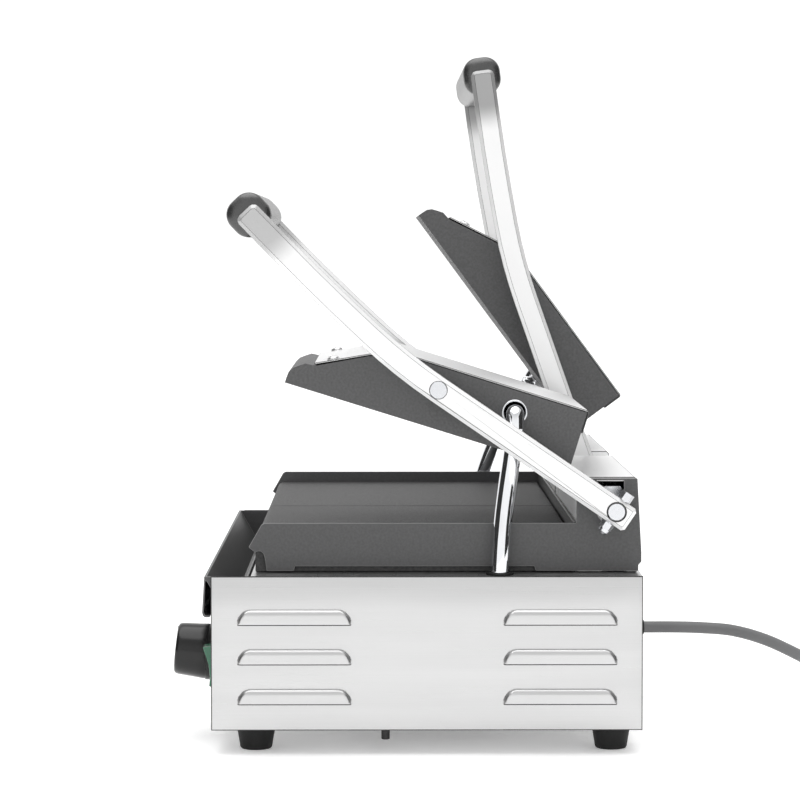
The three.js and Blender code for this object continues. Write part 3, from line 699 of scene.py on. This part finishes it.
def make_controls(materials):
    toward = Vector((0, -1, 0))
    for name, side in SIDES:
        root = at(side * KNOB_X, -PANEL_Y, KNOB_Z)
        make_knob(name, root, materials)
        for i in range(11):
            turn = math.radians(225 - 27 * i)
            out = Vector((math.cos(turn), 0, math.sin(turn)))
            size = 6 if i % 5 == 0 else 4
            mark = beam(f"{name}_dial_mark_{i}", (1, 0.3, size), root + out * MARK_REACH * MM,
                        toward, out, materials["print_black"], 0.1)
            attach(mark, "base", "black_plastic")
        place = at(side * LAMP_X, -PANEL_Y, KNOB_Z)
        lamp = lathe(f"{name}_pilot_lamp", LAMP_PROFILE, place, toward, materials["amber_plastic"])
        attach(lamp, "base", "green_plastic")
        rim = lathe(f"{name}_pilot_rim", RIM_PROFILE, place, toward, materials["chrome"], 40)
        attach(rim, "base", "chrome")


# ---- grips --------------------------------------------------------------------------------------
GRIP_HALF, GRIP_ROUND = 16.7, 13.5
GRIP_STATIONS = [(0.1, 12.6), (0.25, 10.4), (0.6, 8.2), (1.2, 5.9), (2, 3.9), (3, 2.2), (4.2, 1),
                 (5.6, 0.3), (7, 0), (9.4, 0), (9.7, 0.5), (10.3, 0.5), (10.6, 0)]


def grip_ring(inset, lean):
    """A rounded square section, drawn in by inset and leaned, as y and z places."""
    straight = GRIP_HALF - GRIP_ROUND
    radius = GRIP_ROUND - inset
    ring = []
    for corner, (a, b) in enumerate(((1, 1), (-1, 1), (-1, -1), (1, -1))):
        for k in range(13):
            turn = math.radians(90 * corner + 7.5 * k)
            u = a * straight + radius * math.cos(turn)
            v = b * straight + radius * math.sin(turn)
            ring.append((u * math.cos(lean) - v * math.sin(lean),
                         u * math.sin(lean) + v * math.cos(lean)))
    return ring


def make_grips(materials):
    """Each grip has domed ends and a shallow joint line by each of its end caps."""
    for name, _ in SIDES:
        low, high = (Vector(corner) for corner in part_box(f"{name}_grip"))
        middle = (low + high) / 2
        places = [(low.x + x * MM, inset) for x, inset in GRIP_STATIONS]
        places += [(high.x - x * MM, inset) for x, inset in reversed(GRIP_STATIONS)]
        lean = -math.radians(UNIT_ANGLE[name] + GRIP_BEND)
        vertices = [Vector((x, middle.y + u * MM, middle.z + v * MM))
                    for x, inset in places for u, v in grip_ring(inset, lean)]
        sides = len(vertices) // len(places)
        grip = new_piece(f"{name}_hand_grip", vertices, ring_faces(sides, len(places)),
                         materials["grip_plastic"])
        edit(grip, face_outward)
        grip.data.set_sharp_from_angle(angle=math.radians(50))
        attach(grip, f"{name}_handle", "grip_plastic", f"{name}_grip")


# ---- small fittings -----------------------------------------------------------------------------
TIE_TURN = math.radians(75)
TIE_R = 0.9
SCREW_R = 5
SCREW_SHAPE = [(1, 0), (1, 0.2), (0.88, 0.36), (0.6, 0.5), (0.3, 0.56), (0.01, 0.58)]


def platen_point(name, side, x, forward, up):
    """A place on a unit's platen, given forward and up from its lower rear edge."""
    arm = math.radians(UNIT_ANGLE[name])
    turn = platen_turn(name)
    y, z = ROD_AT[0] - forward, up - ROD_AT[1]
    return at(side * x,
              PIVOT[0] - PIN_REACH * math.cos(arm) + y * math.cos(turn) - z * math.sin(turn),
              PIVOT[1] + PIN_REACH * math.sin(arm) + y * math.sin(turn) + z * math.cos(turn))


def platen_turn(name):
    return -math.radians(UNIT_ANGLE[name] - PLATEN_DROOP)


def make_fittings(materials):
    for name, side in SIDES:
        outward = (side, 0, 0)
        platen = f"{name}_platen"
        rim = washer(f"{name}_conduit_rim", 8.9, 10.3, 0.9,
                     platen_point(name, side, PLATEN_FACE_X + 0.02, 56, 32), outward,
                     materials["plated_steel"])
        attach(rim, platen, "plated_steel")
        collar = washer(f"{name}_conduit_collar", 7.7, 11, 2, at(side * 273, 58.7, 143.9),
                        (0, 0, 1), materials["rubber"])
        attach(collar, "base", "rubber")
        joint = washer(f"{name}_shaft_joint", 7.3, 8.1, 0.5, at(side * SHAFT_FACE_X, *PIVOT),
                       outward, materials["black_plastic"])
        attach(joint, f"{name}_handle", "black_plastic")
        tilt = platen_turn(name) + COVER_SLOPE
        normal = (0, -math.sin(tilt), math.cos(tilt))
        shape = [(radius * SCREW_R, height * SCREW_R) for radius, height in SCREW_SHAPE]
        for place, x in (("outer", 244), ("inner", 51)):
            screw = lathe(f"{name}_cover_{place}_screw", shape,
                          platen_point(name, side, x, 208.5, 29.1), normal,
                          materials["screw_steel"], 28)
            attach(screw, platen, "plated_steel")


def make_tie(materials):
    """A loop of cable tie around the coil's two by two turns."""
    outward = Vector((math.cos(TIE_TURN), math.sin(TIE_TURN), 0))
    middle = at(*COIL_CENTRE, 2 * CORD_R) + outward * COIL_R * MM
    across, high = 2 * CORD_R + 0.7, 2 * CORD_R - 1
    path = []
    for i in range(41):
        turn = 2 * math.pi * i / 40
        out = abs(math.cos(turn)) ** 0.55 * math.copysign(1, math.cos(turn))
        lift = abs(math.sin(turn)) ** 0.55 * math.copysign(1, math.sin(turn))
        path.append(middle + (outward * out * across + Vector((0, 0, 1)) * lift * high) * MM)
    tie = tube_mesh("cord_tie", path, TIE_R * MM, 8, materials["black_plastic"])
    attach(tie, "base", "black_plastic")


# ---- surroundings -------------------------------------------------------------------------------
def make_floor():
    """A white table with a little light of its own, so that shadows stay soft."""
    made = Nodes("floor", grey(0.95), 0.55)
    made.ramp(made.noise(3, 2.0), grey(0.94), grey(0.96), "Base Color")
    made.shader.inputs["Emission Color"].default_value = (1, 1, 1, 1)
    made.shader.inputs["Emission Strength"].default_value = 0.22
    half = 12
    corners = [(-half, -half, 0), (half, -half, 0), (half, half, 0), (-half, half, 0)]
    new_piece("floor", corners, [(0, 1, 2, 3)], made.material, smooth=False)


def make_flag(name, y):
    """A black card that only shows in shiny surfaces, as a studio's side flags do."""
    made = Nodes(name, grey(0.01), 0.9)
    made.ramp(made.noise(2, 1.0), grey(0.008), grey(0.014), "Base Color")
    corners = [(-1.2, y, 0), (2.4, y, 0), (2.4, y, 2.2), (-1.2, y, 2.2)]
    flag = new_piece(name, corners, [(0, 1, 2, 3)], made.material, smooth=False)
    flag.visible_camera = False
    flag.visible_diffuse = False
    flag.visible_shadow = False


def make_world():
    """White all round and a little greyer high up."""
    world = bpy.data.worlds.new("studio")
    bpy.context.scene.world = world
    world.use_nodes = True
    tree = world.node_tree
    background = tree.nodes["Background"]
    coordinates = tree.nodes.new("ShaderNodeTexCoord")
    split = tree.nodes.new("ShaderNodeSeparateXYZ")
    tree.links.new(coordinates.outputs["Generated"], split.inputs["Vector"])
    ramp = tree.nodes.new("ShaderNodeMapRange")
    ramp.interpolation_type = "SMOOTHSTEP"
    ramp.inputs["From Min"].default_value = 0.25
    ramp.inputs["From Max"].default_value = 0.8
    ramp.inputs["To Min"].default_value = 1.12
    ramp.inputs["To Max"].default_value = 0.75
    tree.links.new(split.outputs["Z"], ramp.inputs["Value"])
    tree.links.new(ramp.outputs["Result"], background.inputs["Strength"])
    background.inputs["Color"].default_value = (1, 1, 1, 1)


def add_light(data, place=(0, 0, 0), target=(0, 0, -1)):
    light = bpy.data.objects.new(data.name, data)
    light.location = place
    light.rotation_euler = (Vector(target) - Vector(place)).to_track_quat("-Z", "Y").to_euler()
    bpy.context.scene.collection.objects.link(light)


def make_lights():
    panel = bpy.data.lights.new("top_light", "AREA")
    panel.shape = "RECTANGLE"
    panel.size, panel.size_y = 2.4, 2.4
    panel.energy = 22
    add_light(panel, (0.2, -0.3, 2.4), (0, 0, 0.2))
    sky = bpy.data.lights.new("overhead_light", "SUN")
    sky.energy = 1.05
    sky.angle = math.radians(70)
    add_light(sky)


make_camera()
MATERIALS = make_materials()
make_cord(MATERIALS)
finish_cad_nodes(MATERIALS)
make_conduits(MATERIALS)
for NAME, SIDE in SIDES:
    make_side_panel(NAME, SIDE, MATERIALS)
make_controls(MATERIALS)
make_grips(MATERIALS)
make_fittings(MATERIALS)
make_tie(MATERIALS)
make_floor()
make_world()
make_flag("front_flag", -2.2)
make_flag("rear_flag", 2.4)
make_lights()
bpy.context.scene.view_settings.view_transform = "Standard"
